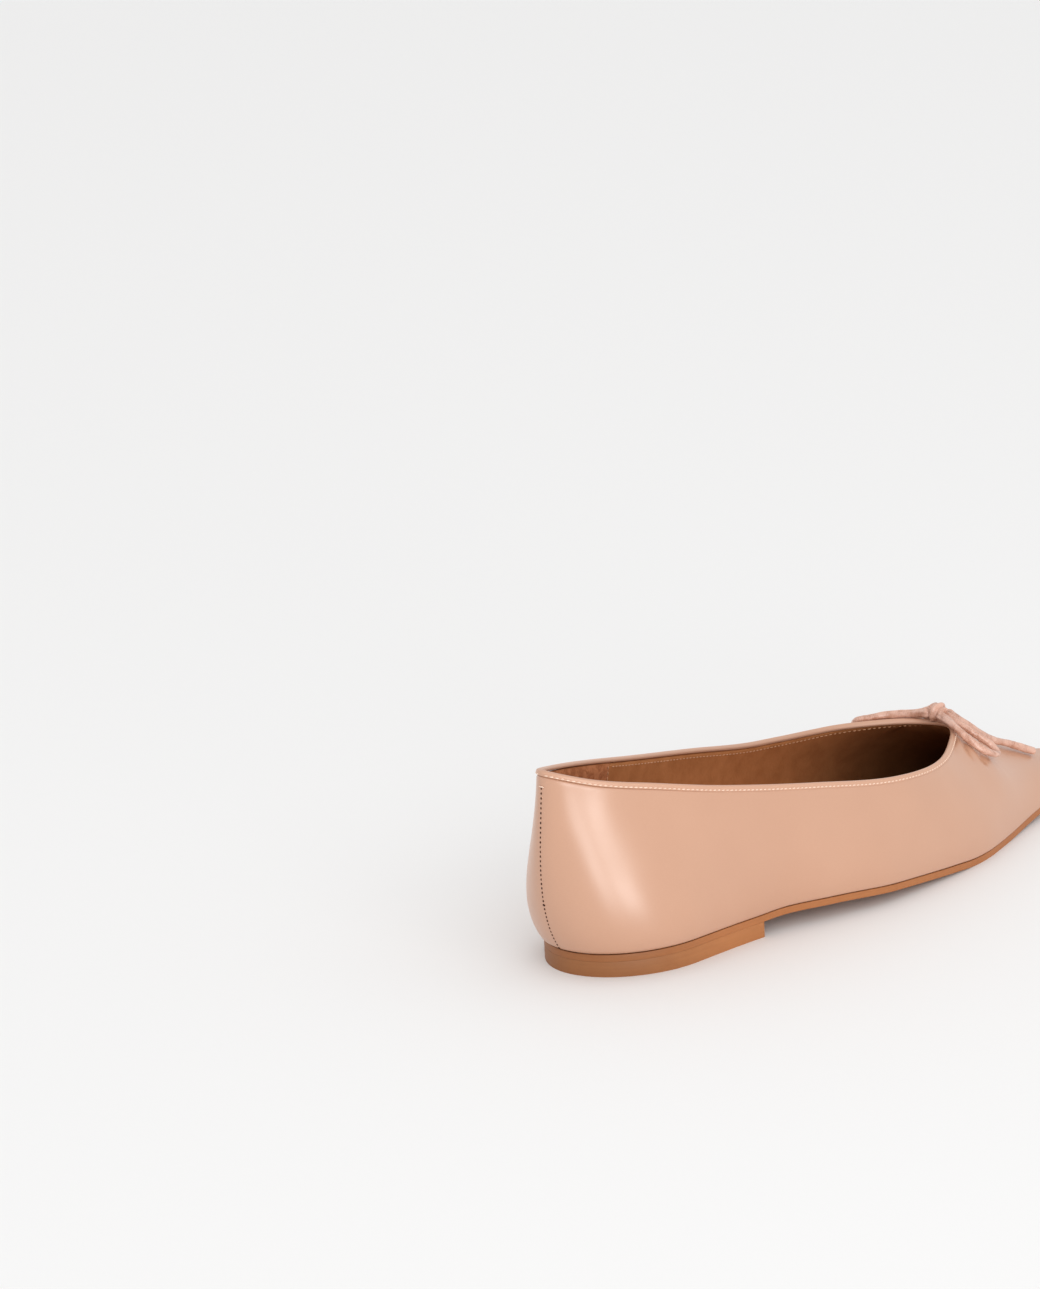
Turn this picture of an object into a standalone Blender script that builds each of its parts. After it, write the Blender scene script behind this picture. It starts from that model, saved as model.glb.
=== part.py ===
# Right ballet flat: hollow satin upper on a thin leather sole with a low heel,
# a rolled binding along the collar and a small tube bow at the throat.
# Row frame: +X to the toe, +Y to the wearer's left, +Z up, the floor at z = 0.
# The tables' lengths are shares of the named sizes. Inside the functions x is
# measured from the back edge of the sole, and every object is then placed by
# the same location, so that the origin lies under the middle of the shoe.

import math

import bmesh
import bpy
import numpy as np

MM = 0.001

# Sole
sole_length = 236 * MM
ball_width = 70 * MM
heel_round = 32 * MM
toe_round = 30 * MM
outsole_thickness = 2.2 * MM
heel_lift = 5.0 * MM
toe_spring = 6.0 * MM
heel_length = 61.5 * MM
insole_thickness = 1.8 * MM
insole_toe_gap = 9 * MM

# Upper
wall = 1.8 * MM
gap = 0.3 * MM
lasting_margin = 6.0 * MM
upper_overhang = 0.8 * MM
collar_length = 183 * MM
collar_overhang = 5.4 * MM
collar_width = 59 * MM
collar_back_round = 50 * MM
collar_throat_round = 40 * MM
back_height = 66 * MM
throat_height = 36.2 * MM
binding_diameter = 2.0 * MM
throat_share = 0.80
ridge_end_share = 0.86
throat_sweep = math.radians(50)

# Bow
bow_diameter = 2.7 * MM

knot_size = (6.0 * MM, 6.8 * MM, 5.0 * MM)
knot_place = (176.6, 2.0, 39.2)

# Routes of the bow's tubes: x, y, z in millimetres from the back edge of the sole.
bow_routes = {
    "bow_loop_near": (
        (174.7, -1.2, 38.9),
        (172.4, -7.0, 38.4),
        (171.2, -12.0, 36.8),
        (172.0, -16.2, 34.0),
        (174.8, -19.2, 30.9),
        (178.8, -19.8, 28.7),
        (182.4, -18.2, 27.9),
        (182.6, -15.6, 29.9),
        (180.2, -13.4, 32.5),
        (178.0, -10.4, 35.0),
        (176.8, -6.4, 37.3),
        (177.2, -2.2, 38.6),
    ),
    "bow_loop_far": (
        (175.1, 5.3, 39.7),
        (173.4, 11.4, 38.4),
        (169.4, 17.2, 37.4),
        (165.2, 21.2, 36.6),
        (162.6, 25.0, 35.6),
        (164.2, 27.6, 33.2),
        (168.4, 25.0, 32.6),
        (173.2, 19.4, 34.4),
        (176.8, 11.8, 36.4),
        (177.8, 5.8, 38.7),
    ),
    "bow_end_near": (
        (179.6, -0.2, 38.3),
        (183.6, -4.0, 34.7),
        (189.6, -5.2, 29.8),
        (196.6, -4.8, 26.0),
        (203.0, -5.4, 23.4),
        (208.6, -6.2, 20.8),
        (213.6, -7.0, 18.5),
    ),
    "bow_end_far": (
        (179.9, 3.7, 38.0),
        (183.6, 6.8, 34.4),
        (190.0, 9.6, 29.5),
        (198.0, 11.4, 24.2),
        (206.0, 12.2, 20.4),
    ),
}

# Where the origin lies, measured from the back edge of the sole, behind which the
# upper's back swells by back_swell
back_swell = 7.8 * MM
origin_forward = (sole_length + upper_overhang - back_swell) / 2
origin_left = -0.01 * ball_width

# Fineness of the meshes
sole_rows = 56
heel_rows = 16
sole_columns = 6
collar_ribs = 32
vamp_ribs = 12
wall_rings = 11

# Sole outline: along is a share of sole_length, outer (wearer's right) and
# inner (wearer's left) are shares of ball_width from the long axis.
sole_outline = {
    "along": (0.00, 0.12, 0.19, 0.27, 0.37, 0.47, 0.57, 0.67, 0.75, 0.83, 0.91, 1.00),
    "outer": (0.36, 0.37, 0.37, 0.38, 0.46, 0.52, 0.505, 0.465, 0.385, 0.30, 0.235, 0.20),
    "inner": (0.35, 0.36, 0.36, 0.35, 0.38, 0.43, 0.475, 0.495, 0.465, 0.38, 0.28, 0.20),
}

# Underside of the outsole above the floor, as shares of heel_lift and toe_spring.
sole_profile = {
    "along": (0.00, 0.12, 0.25, 0.31, 0.39, 0.49, 0.60, 0.66, 0.73, 0.83, 0.92, 1.00),
    "of_heel": (0.98, 1.04, 1.00, 1.08, 0.98, 0.66, 0.22, 0.00, 0.00, 0.00, 0.00, 0.00),
    "of_toe": (0.00, 0.00, 0.00, 0.00, 0.00, 0.00, 0.00, 0.00, 0.00, 0.22, 0.60, 1.00),
}

# Collar edge from the back seam to the throat: along is a share of collar_length,
# outer and inner of collar_width, the heights of back_height.
collar_edge = {
    "along": (0.00, 0.06, 0.16, 0.31, 0.50, 0.69, 0.84, 0.95, 1.00),
    "outer": (0.26, 0.31, 0.34, 0.40, 0.46, 0.50, 0.42, 0.29, 0.23),
    "inner": (0.24, 0.30, 0.33, 0.40, 0.47, 0.50, 0.47, 0.38, 0.32),
    "outer_height": (1.00, 0.945, 0.88, 0.78, 0.67, 0.575, 0.54, 0.545, 0.553),
    "inner_height": (1.00, 0.945, 0.88, 0.785, 0.68, 0.585, 0.557, 0.558, 0.553),
}

# Ridge of the vamp from the throat to the toe tip: along is a share of that
# distance, height of throat_height.
vamp_ridge = {
    "along": (0.00, 0.09, 0.25, 0.42, 0.59, 0.75, 0.86, 1.00),
    "height": (1.00, 0.86, 0.725, 0.625, 0.525, 0.435, 0.39, 0.33),
}

# Side of the upper by its place along the sole's edge: rise is the angle above
# level at which the wall leaves the sole, lean the angle from upright at its top,
# low and high are the lengths of the curve's two arms as shares of the wall's own.
wall_shape = {
    "around": (0.00, 0.12, 0.25, 0.40, 0.55, 0.66, 0.74, 0.80, 0.90, 1.00),
    "rise": (55, 60, 68, 72, 76, 80, 84, 86, 86, 80),
    "lean": (3, 4, 8, 14, 26, 40, 56, 65, 65, 65),
    "low": (0.33, 0.32, 0.30, 0.30, 0.32, 0.34, 0.34, 0.32, 0.32, 0.40),
    "high": (0.36, 0.34, 0.32, 0.32, 0.34, 0.38, 0.43, 0.47, 0.48, 0.46),
}


def along_table(table, key, column, place):
    """Smooth value of a table's column, flat between equal rows."""
    x = np.array(table[key], float)
    y = np.array(table[column], float)
    step = np.diff(x)
    rate = np.diff(y) / step
    slope = np.zeros(len(x))
    slope[0] = rate[0]
    slope[-1] = rate[-1]
    same = rate[:-1] * rate[1:] > 0
    ahead = 2 * step[1:] + step[:-1]
    behind = step[1:] + 2 * step[:-1]
    safe = np.where(same, rate[:-1] * rate[1:], 1.0)
    mixed = safe * (ahead + behind) / np.where(same, ahead * rate[1:] + behind * rate[:-1], 1.0)
    slope[1:-1] = np.where(same, mixed, 0.0)
    place = np.clip(np.asarray(place, float), x[0], x[-1])
    row = np.clip(np.searchsorted(x, place) - 1, 0, len(x) - 2)
    part = (place - x[row]) / step[row]
    bend = (
        y[row] * (1 + 2 * part) * (1 - part) ** 2
        + slope[row] * step[row] * part * (1 - part) ** 2
        + y[row + 1] * part**2 * (3 - 2 * part)
        + slope[row + 1] * step[row] * part**2 * (part - 1)
    )
    return bend


def round_ends(distance, length, start, end):
    """Factor that closes an outline at both ends with quarter ellipses."""
    from_start = np.clip((start - distance) / start, 0, 1)
    from_end = np.clip((end - (length - distance)) / end, 0, 1)
    return np.sqrt(np.clip(1 - from_start**2, 0, 1)) * np.sqrt(np.clip(1 - from_end**2, 0, 1))


def side_name(side):
    return "outer" if side < 0 else "inner"


def sole_half_width(x, side, inset=0.0, toe_gap=0.0):
    """Distance of the sole's edge from the long axis at x."""
    length = sole_length - 2 * inset - toe_gap
    share = np.clip(x / sole_length, 0, 1)
    width = along_table(sole_outline, "along", side_name(side), share) * ball_width
    ends = round_ends(np.clip(x - inset, 0, length), length, heel_round - inset, toe_round - inset)
    return np.maximum(width - inset, 0) * ends


def sole_bottom(x):
    """Height of the outsole's underside above the floor at x."""
    share = x / sole_length
    heel = along_table(sole_profile, "along", "of_heel", share) * heel_lift
    toe = along_table(sole_profile, "along", "of_toe", share) * toe_spring
    return heel + toe


def evenly(x, y, shares):
    """Points at shares of the length of the line through x, y."""
    run = np.concatenate([[0], np.cumsum(np.hypot(np.diff(x), np.diff(y)))])
    at = np.asarray(shares) * run[-1]
    return np.interp(at, run, x), np.interp(at, run, y)


def close_at_ends(length, count):
    """Distances from 0 to length, closer together at both ends."""
    return length * (1 - np.cos(np.linspace(0, math.pi, count))) / 2


def feather_line(around, side):
    """Where the upper meets the sole, with its outward direction."""
    x = close_at_ends(sole_length, 600)
    y = side * sole_half_width(x, side)
    px, py = evenly(x, y, around)
    ahead_x, ahead_y = evenly(x, y, np.clip(around + 0.004, 0, 1))
    behind_x, behind_y = evenly(x, y, np.clip(around - 0.004, 0, 1))
    dx, dy = ahead_x - behind_x, ahead_y - behind_y
    size = np.hypot(dx, dy)
    out = np.stack([-side * dy, side * dx], -1) / size[:, None]
    out[around <= 0] = (-1, 0)
    out[around >= 1] = (1, 0)
    foot = np.stack([px, py], -1) + out * upper_overhang
    height = sole_bottom(px) + outsole_thickness + gap
    return np.column_stack([foot, height]), np.column_stack([out, np.zeros(len(px))])


def collar_line(share, side):
    """Finished edge of the collar from the back seam to the throat."""
    x = close_at_ends(collar_length, 600)
    width = along_table(collar_edge, "along", side_name(side), x / collar_length) * collar_width
    y = side * width * round_ends(x, collar_length, collar_back_round, collar_throat_round)
    px, py = evenly(x, y, share)
    ahead_x, ahead_y = evenly(x, y, np.clip(share + 0.006, 0, 1))
    behind_x, behind_y = evenly(x, y, np.clip(share - 0.006, 0, 1))
    turn = np.arctan2(-(ahead_y - behind_y) * side, ahead_x - behind_x)
    turn[share <= 0] = -math.pi / 2
    turn[share >= 1] = math.pi / 2
    height = along_table(collar_edge, "along", side_name(side) + "_height", px / collar_length)
    return np.column_stack([px - collar_overhang, py, height * back_height]), turn


def ridge_line(share):
    """Highest line of the vamp from the throat to the toe tip, and its slope."""
    throat = collar_length - collar_overhang
    reach = sole_length + upper_overhang - throat
    height = along_table(vamp_ridge, "along", "height", share) * throat_height
    ahead = along_table(vamp_ridge, "along", "height", share + 0.01) * throat_height
    behind = along_table(vamp_ridge, "along", "height", share - 0.01) * throat_height
    low = np.clip(share - 0.01, 0, 1)
    high = np.clip(share + 0.01, 0, 1)
    slope = (ahead - behind) / ((high - low) * reach)
    return np.column_stack([throat + share * reach, 0 * share, height]), slope


def rib_ends(around, side, inset):
    """Top end of each rib, the direction it arrives in, and the way off the edge."""
    turn_in = np.array([0.0, -side, 0.0])
    forward = np.array([1.0, 0.0, 0.0])
    up = np.array([0.0, 0.0, 1.0])
    lean = np.radians(along_table(wall_shape, "around", "lean", around))[:, None]
    on_collar = around <= throat_share
    edge, turn = collar_line(np.clip(around / throat_share, 0, 1), side)
    across = turn_in * np.cos(turn)[:, None] - forward * np.sin(turn)[:, None]
    off_edge = up * np.cos(lean) + across * np.sin(lean)
    swept = np.where(turn > 0, turn * throat_sweep / (math.pi / 2), turn)
    heading = turn_in * np.cos(swept)[:, None] - forward * np.sin(swept)[:, None]
    arrive = up * np.cos(lean) + heading * np.sin(lean)
    end = edge - inset * off_edge
    if (~on_collar).any():
        part = (around[~on_collar] - throat_share) / (1 - throat_share)
        start = inset * math.sin(lean[on_collar][-1, 0]) / (sole_length - collar_length)
        along = start + (ridge_end_share - start) * (1 - (1 - part) ** 1.6)
        ridge, slope = ridge_line(along)
        swept = throat_sweep + (math.pi / 2 - throat_sweep) * part
        heading = turn_in * np.cos(swept)[:, None] - forward * np.sin(swept)[:, None]
        on_ridge = heading + up * (slope * heading[:, 0])[:, None]
        end[~on_collar] = ridge
        arrive[~on_collar] = on_ridge / np.linalg.norm(on_ridge, axis=1)[:, None]
    return end, arrive, off_edge


def rib_curves(around, side, inset, shares):
    """Outer face of the upper: one curve for each place around, a point for each share."""
    foot, out = feather_line(around, side)
    end, arrive, _ = rib_ends(around, side, inset)
    rise = np.radians(along_table(wall_shape, "around", "rise", around))[:, None]
    low = along_table(wall_shape, "around", "low", around)[:, None]
    high = along_table(wall_shape, "around", "high", around)[:, None]
    size = np.linalg.norm(end - foot, axis=1)[:, None]
    up = np.array([0.0, 0.0, 1.0])
    first = foot + low * size * (out * np.cos(rise) + up * np.sin(rise))
    second = end - high * size * arrive
    t = np.asarray(shares)[None, :, None]
    foot, first, second, end = (p[:, None, :] for p in (foot, first, second, end))
    return (1 - t) ** 3 * foot + 3 * (1 - t) ** 2 * t * first + 3 * (1 - t) * t**2 * second + t**3 * end


def places_around():
    """Rib places from the back seam to the toe tip, closer at the back."""
    even = np.linspace(0, 1, collar_ribs + 1)
    collar = throat_share * (even - 0.5 * np.sin(2 * math.pi * even) / (2 * math.pi))
    vamp = throat_share + (1 - throat_share) * np.linspace(0, 1, vamp_ribs + 1)
    return np.concatenate([collar, vamp[1:]])


def finish(obj, material, collection, smooth_angle=40):
    """Place an object in the shoe, shade it and give it its material."""
    for owner in obj.users_collection:
        owner.objects.unlink(obj)
    collection.objects.link(obj)
    obj.location = (-origin_forward, -origin_left, 0)
    obj.data.materials.append(material)
    if obj.type == "MESH":
        obj.data.shade_smooth()
        obj.data.set_sharp_from_angle(angle=math.radians(smooth_angle))
    return obj


def make_material(name, colour, roughness):
    material = bpy.data.materials.new(name)
    material.use_nodes = True
    shader = material.node_tree.nodes["Principled BSDF"]
    shader.inputs["Base Color"].default_value = (*colour, 1)
    shader.inputs["Roughness"].default_value = roughness
    shader.inputs["Metallic"].default_value = 0.0
    return material


def grid_object(name, points, closed_across=False):
    """Open surface through a grid of points, with its doubles welded."""
    rows, columns, _ = points.shape
    mesh = bpy.data.meshes.new(name)
    last = rows if closed_across else rows - 1
    faces = [
        (i * columns + j, ((i + 1) % rows) * columns + j, ((i + 1) % rows) * columns + j + 1, i * columns + j + 1)
        for i in range(last)
        for j in range(columns - 1)
    ]
    mesh.from_pydata(points.reshape(-1, 3).tolist(), [], faces)
    body = bmesh.new()
    body.from_mesh(mesh)
    bmesh.ops.remove_doubles(body, verts=body.verts, dist=0.01 * MM)
    bmesh.ops.dissolve_degenerate(body, edges=body.edges, dist=0.01 * MM)
    body.to_mesh(mesh)
    body.free()
    return bpy.data.objects.new(name, mesh)


def thicken(obj, thickness, offset):
    solid = obj.modifiers.new("Thickness", "SOLIDIFY")
    solid.thickness = thickness
    solid.offset = offset
    solid.use_even_offset = True
    solid.use_quality_normals = True
    return obj


def sole_sheet(name, x, inset, toe_gap, lift):
    """Level surface inside the sole's outline, lift above the outsole's underside."""
    share = np.linspace(-1, 1, sole_columns + 1)
    outer = -sole_half_width(x, -1, inset, toe_gap)
    inner = sole_half_width(x, 1, inset, toe_gap)
    middle = (outer + inner)[:, None] / 2
    half = (inner - outer)[:, None] / 2
    y = middle + half * share[None, :]
    x_grid = np.broadcast_to(x[:, None], y.shape)
    z = sole_bottom(x_grid) + lift
    return grid_object(name, np.stack([x_grid, y, z], -1))


def make_outsole():
    x = close_at_ends(sole_length, sole_rows)
    return thicken(sole_sheet("outsole", x, 0.0, 0.0, 0.0), outsole_thickness, 1)


def make_insole():
    inset = wall + 2 * gap
    x = inset + close_at_ends(sole_length - 2 * inset - insole_toe_gap, sole_rows)
    lift = outsole_thickness + gap + wall + gap
    return thicken(sole_sheet("insole", x, inset, insole_toe_gap, lift), insole_thickness, 1)


def make_heel():
    """Heel block: the sole's outline up to the straight breast, drawn down to the floor."""
    x = heel_length * (1 - np.cos(np.linspace(0, math.pi / 2, heel_rows)))
    heel = sole_sheet("heel", x, 0.0, 0.0, -gap)
    body = bmesh.new()
    body.from_mesh(heel.data)
    drawn = bmesh.ops.extrude_face_region(body, geom=body.faces[:])
    for item in drawn["geom"]:
        if isinstance(item, bmesh.types.BMVert):
            item.co.z = 0
    bmesh.ops.recalc_face_normals(body, faces=body.faces)
    body.to_mesh(heel.data)
    body.free()
    return heel


def make_upper():
    """Hollow upper: ribs from the turned-in margin up to the binding or the ridge."""
    around = places_around()
    shares = np.linspace(0, 1, wall_rings + 1)
    loops = []
    for side in (-1, 1):
        ribs = rib_curves(around, side, binding_diameter + gap, shares)
        foot, out = feather_line(around, side)
        turned = []
        for share in (1.0, 0.5):
            inside = foot - out * lasting_margin * share
            inside[:, 2] = sole_bottom(inside[:, 0]) + outsole_thickness + gap
            turned.append(inside)
        margin = np.stack(turned, 1)
        loops.append(np.concatenate([margin, ribs], 1))
    outer, inner = loops
    ring = np.concatenate([outer, inner[-2:0:-1]], 0)
    upper = grid_object("upper", ring, closed_across=True)
    return thicken(upper, wall, -1)


def tube(name, points, diameter, cyclic, resolution):
    """Round tube along the points, with closed ends where it isn't a ring."""
    curve = bpy.data.curves.new(name, "CURVE")
    curve.dimensions = "3D"
    curve.bevel_depth = diameter / 2
    curve.bevel_resolution = resolution
    curve.use_fill_caps = not cyclic
    line = curve.splines.new("POLY")
    line.points.add(len(points) - 1)
    for spot, point in zip(line.points, points):
        spot.co = (*point, 1)
    line.use_cyclic_u = cyclic
    return bpy.data.objects.new(name, curve)


def make_binding():
    """Rolled edge that rides on the upper's wall all round the collar."""
    even = np.linspace(0, 1, collar_ribs + 1)
    around = throat_share * (even - 0.5 * np.sin(2 * math.pi * even) / (2 * math.pi))
    loops = []
    for side in (-1, 1):
        end, _, off_edge = rib_ends(around, side, binding_diameter / 2)
        inward = np.cross(off_edge, np.gradient(end, axis=0))
        inward *= -side / np.linalg.norm(inward, axis=1)[:, None]
        loops.append(end + inward * wall / 2)
    outer, inner = loops
    outer[0, 1] = outer[-1, 1] = 0
    ring = np.concatenate([outer, inner[-2:0:-1]], 0)
    return tube("collar_binding", ring, binding_diameter, True, 1)


def smooth_route(points, steps):
    """Points along a smooth curve through the route's own points."""
    route = np.array(points, float) * MM
    padded = np.concatenate([2 * route[:1] - route[1:2], route, 2 * route[-1:] - route[-2:-1]])
    line = []
    for a, b, c, d in zip(padded, padded[1:], padded[2:], padded[3:]):
        for t in np.arange(steps) / steps:
            line.append(
                b
                + (c - a) * t / 2
                + (2 * a - 5 * b + 4 * c - d) * t**2 / 2
                + (3 * b - a - 3 * c + d) * t**3 / 2
            )
    line.append(route[-1])
    return line


def make_knot():
    """Small oval knot over the middle of the throat."""
    mesh = bpy.data.meshes.new("bow_knot")
    body = bmesh.new()
    bmesh.ops.create_uvsphere(body, u_segments=14, v_segments=9, radius=0.5)
    bmesh.ops.scale(body, vec=knot_size, verts=body.verts)
    bmesh.ops.translate(body, vec=[value * MM for value in knot_place], verts=body.verts)
    body.to_mesh(mesh)
    body.free()
    return bpy.data.objects.new("bow_knot", mesh)


def main():
    for obj in list(bpy.data.objects):
        bpy.data.objects.remove(obj, do_unlink=True)
    shoe = bpy.data.collections.new("Ballet flat")
    bpy.context.scene.collection.children.link(shoe)
    satin = make_material("Blush satin", (0.72, 0.42, 0.30), 0.38)
    leather = make_material("Tan sole leather", (0.55, 0.24, 0.10), 0.55)
    lining = make_material("Brown lining", (0.30, 0.15, 0.08), 0.7)
    finish(make_outsole(), leather, shoe)
    finish(make_heel(), leather, shoe)
    finish(make_insole(), lining, shoe)
    finish(make_upper(), satin, shoe)
    finish(make_binding(), satin, shoe)
    finish(make_knot(), satin, shoe)
    for name, route in bow_routes.items():
        finish(tube(name, smooth_route(route, 3), bow_diameter, False, 2), satin, shoe)


main()
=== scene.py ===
# Right ballet flat: the finished look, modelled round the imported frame.
# Row frame in metres: +X to the toe, +Y to the wearer's left, +Z up, the floor at z = 0.
# The shoe's tables hold shares of the named sizes, and x is measured from the back
# edge of the sole until a piece is placed.

import math

import bpy
import numpy as np
from mathutils import Matrix, Vector


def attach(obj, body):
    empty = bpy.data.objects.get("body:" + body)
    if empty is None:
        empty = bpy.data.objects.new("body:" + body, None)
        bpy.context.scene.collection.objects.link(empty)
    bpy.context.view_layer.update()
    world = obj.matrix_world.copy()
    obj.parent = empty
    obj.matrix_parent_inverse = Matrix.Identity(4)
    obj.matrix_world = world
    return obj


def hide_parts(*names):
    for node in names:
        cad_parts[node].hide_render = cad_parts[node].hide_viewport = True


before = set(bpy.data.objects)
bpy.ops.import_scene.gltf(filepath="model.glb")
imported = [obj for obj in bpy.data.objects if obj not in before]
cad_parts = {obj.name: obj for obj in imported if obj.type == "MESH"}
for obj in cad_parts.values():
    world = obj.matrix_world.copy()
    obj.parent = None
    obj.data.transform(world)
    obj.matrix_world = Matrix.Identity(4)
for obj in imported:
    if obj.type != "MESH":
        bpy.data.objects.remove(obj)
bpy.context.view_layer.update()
mm = 0.001
rng = np.random.default_rng(7)

# Where the back edge of the sole lies in the row frame
soleBack = np.array((-114.5 * mm, 0.7 * mm, 0.0))


# Camera and light

camera = {
    "place": (-1.0709, -1.0015, 0.5053),
    "aim": (-0.1069, 0.0211, 0.0989),
    "rollDegrees": 2.78,
    "lensMm": 134.57,
    "sensorMm": 36,
}

studio = {
    "floorColour": (0.88, 0.877, 0.874),
    "floorWidth": 14,
    "skyColour": (1.0, 1.0, 1.0),
    "skyStrength": 0.945,
    "lights": (
        # name, place, aim, width, height, watts
        ("stripLight", (-0.87, -1.16, 0.17), (-0.11, -0.01, 0.05), 0.32, 0.34, 2.5),
        ("lowStrip", (-0.46, -1.35, 0.09), (-0.10, -0.02, 0.03), 0.42, 0.16, 3.3),
        ("frontSoft", (-0.7, -1.9, 1.1), (0.0, 0.0, 0.02), 1.8, 0.9, 8),
        ("overheadSoft", (0.3, 0.5, 2.2), (0.0, 0.0, 0.0), 2.4, 2.4, 1),
    ),
}


def makeCamera():
    bpy.ops.object.camera_add(location=camera["place"])
    eye = bpy.context.object
    eye.name = "photoCamera"
    look = Vector(camera["aim"]) - Vector(camera["place"])
    roll = Matrix.Rotation(-math.radians(camera["rollDegrees"]), 4, "Z")
    turned = look.to_track_quat("-Z", "Y").to_matrix().to_4x4() @ roll
    eye.rotation_euler = turned.to_euler()
    eye.data.lens = camera["lensMm"]
    eye.data.sensor_width = camera["sensorMm"]
    eye.data.clip_end = 50
    bpy.context.scene.camera = eye


def makeLights():
    world = bpy.data.worlds.new("studioAir")
    world.use_nodes = True
    sky = world.node_tree.nodes["Background"]
    sky.inputs["Color"].default_value = (*studio["skyColour"], 1)
    sky.inputs["Strength"].default_value = studio["skyStrength"]
    bpy.context.scene.world = world
    bpy.context.scene.view_settings.view_transform = "Standard"
    for name, place, aim, width, height, watts in studio["lights"]:
        bpy.ops.object.light_add(type="AREA", location=place)
        lamp = bpy.context.object
        lamp.name = name
        lamp.data.shape = "RECTANGLE"
        lamp.data.size = width
        lamp.data.size_y = height
        lamp.data.energy = watts
        look = Vector(aim) - Vector(place)
        lamp.rotation_euler = look.to_track_quat("-Z", "Y").to_euler()


# The last: one set of tables and functions that sole, upper and collar share

last = {
    "soleLength": 236 * mm,
    "ballWidth": 70 * mm,
    "heelRound": 32 * mm,
    "toeRound": 30 * mm,
    "outsoleThickness": 2.2 * mm,
    "heelLift": 5.0 * mm,
    "toeSpring": 6.0 * mm,
    "heelLength": 61.5 * mm,
    "wall": 1.8 * mm,
    "gap": 0.3 * mm,
    "upperOverhang": 0.8 * mm,
    "collarLength": 183 * mm,
    "collarOverhang": 5.4 * mm,
    "collarWidth": 59 * mm,
    "collarBackRound": 50 * mm,
    "collarThroatRound": 40 * mm,
    "backHeight": 66 * mm,
    "throatHeight": 36.2 * mm,
    "throatShare": 0.80,
    "ridgeEndShare": 0.86,
    "throatSweep": math.radians(50),
    # where round the collar the ribs start to lie level, and over what share
    "levelFrom": 0.86,
    "levelOver": 0.14,
}

soleOutline = {
    "along": (0.00, 0.12, 0.19, 0.27, 0.37, 0.47, 0.57, 0.67, 0.75, 0.83, 0.91, 1.00),
    "outer": (0.36, 0.37, 0.37, 0.38, 0.46, 0.52, 0.505, 0.465, 0.385, 0.30, 0.235, 0.20),
    "inner": (0.35, 0.36, 0.36, 0.35, 0.38, 0.43, 0.475, 0.495, 0.465, 0.38, 0.28, 0.20),
}

soleProfile = {
    "along": (0.00, 0.12, 0.25, 0.31, 0.39, 0.49, 0.60, 0.66, 0.73, 0.83, 0.92, 1.00),
    "ofHeel": (0.98, 1.04, 1.00, 1.08, 0.98, 0.66, 0.22, 0.00, 0.00, 0.00, 0.00, 0.00),
    "ofToe": (0.00, 0.00, 0.00, 0.00, 0.00, 0.00, 0.00, 0.00, 0.00, 0.22, 0.60, 1.00),
}

collarEdge = {
    "along": (0.00, 0.06, 0.16, 0.31, 0.50, 0.69, 0.84, 0.95, 1.00),
    "outer": (0.26, 0.31, 0.34, 0.40, 0.46, 0.50, 0.42, 0.29, 0.23),
    "inner": (0.24, 0.30, 0.33, 0.40, 0.47, 0.50, 0.47, 0.38, 0.32),
    "outerHeight": (1.00, 0.945, 0.88, 0.78, 0.67, 0.575, 0.54, 0.545, 0.553),
    "innerHeight": (1.00, 0.945, 0.88, 0.785, 0.68, 0.585, 0.557, 0.558, 0.553),
}

vampRidge = {
    "along": (0.00, 0.09, 0.25, 0.42, 0.59, 0.75, 0.86, 1.00),
    "height": (1.00, 0.86, 0.725, 0.625, 0.525, 0.435, 0.39, 0.33),
}

wallShape = {
    "around": (0.00, 0.12, 0.25, 0.40, 0.55, 0.66, 0.74, 0.80, 0.90, 1.00),
    "rise": (55, 60, 68, 72, 76, 80, 84, 86, 86, 80),
    "lean": (3, 4, 8, 14, 26, 40, 56, 65, 65, 65),
    "low": (0.33, 0.32, 0.30, 0.30, 0.32, 0.34, 0.34, 0.32, 0.32, 0.40),
    "high": (0.36, 0.34, 0.32, 0.32, 0.34, 0.38, 0.43, 0.47, 0.48, 0.46),
}


def alongTable(table, key, column, place):
    # Smooth value of a table's column, flat between equal rows
    x = np.array(table[key], float)
    y = np.array(table[column], float)
    step = np.diff(x)
    rate = np.diff(y) / step
    slope = np.zeros(len(x))
    slope[0] = rate[0]
    slope[-1] = rate[-1]
    same = rate[:-1] * rate[1:] > 0
    ahead = 2 * step[1:] + step[:-1]
    behind = step[1:] + 2 * step[:-1]
    safe = np.where(same, rate[:-1] * rate[1:], 1.0)
    mixed = safe * (ahead + behind) / np.where(same, ahead * rate[1:] + behind * rate[:-1], 1.0)
    slope[1:-1] = np.where(same, mixed, 0.0)
    place = np.clip(np.asarray(place, float), x[0], x[-1])
    row = np.clip(np.searchsorted(x, place) - 1, 0, len(x) - 2)
    part = (place - x[row]) / step[row]
    return (
        y[row] * (1 + 2 * part) * (1 - part) ** 2
        + slope[row] * step[row] * part * (1 - part) ** 2
        + y[row + 1] * part**2 * (3 - 2 * part)
        + slope[row + 1] * step[row] * part**2 * (part - 1)
    )


def sideName(side):
    return "outer" if side < 0 else "inner"


def roundEnds(distance, length, start, end):
    fromStart = np.clip((start - distance) / start, 0, 1)
    fromEnd = np.clip((end - (length - distance)) / end, 0, 1)
    return np.sqrt(np.clip(1 - fromStart**2, 0, 1)) * np.sqrt(np.clip(1 - fromEnd**2, 0, 1))


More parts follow.
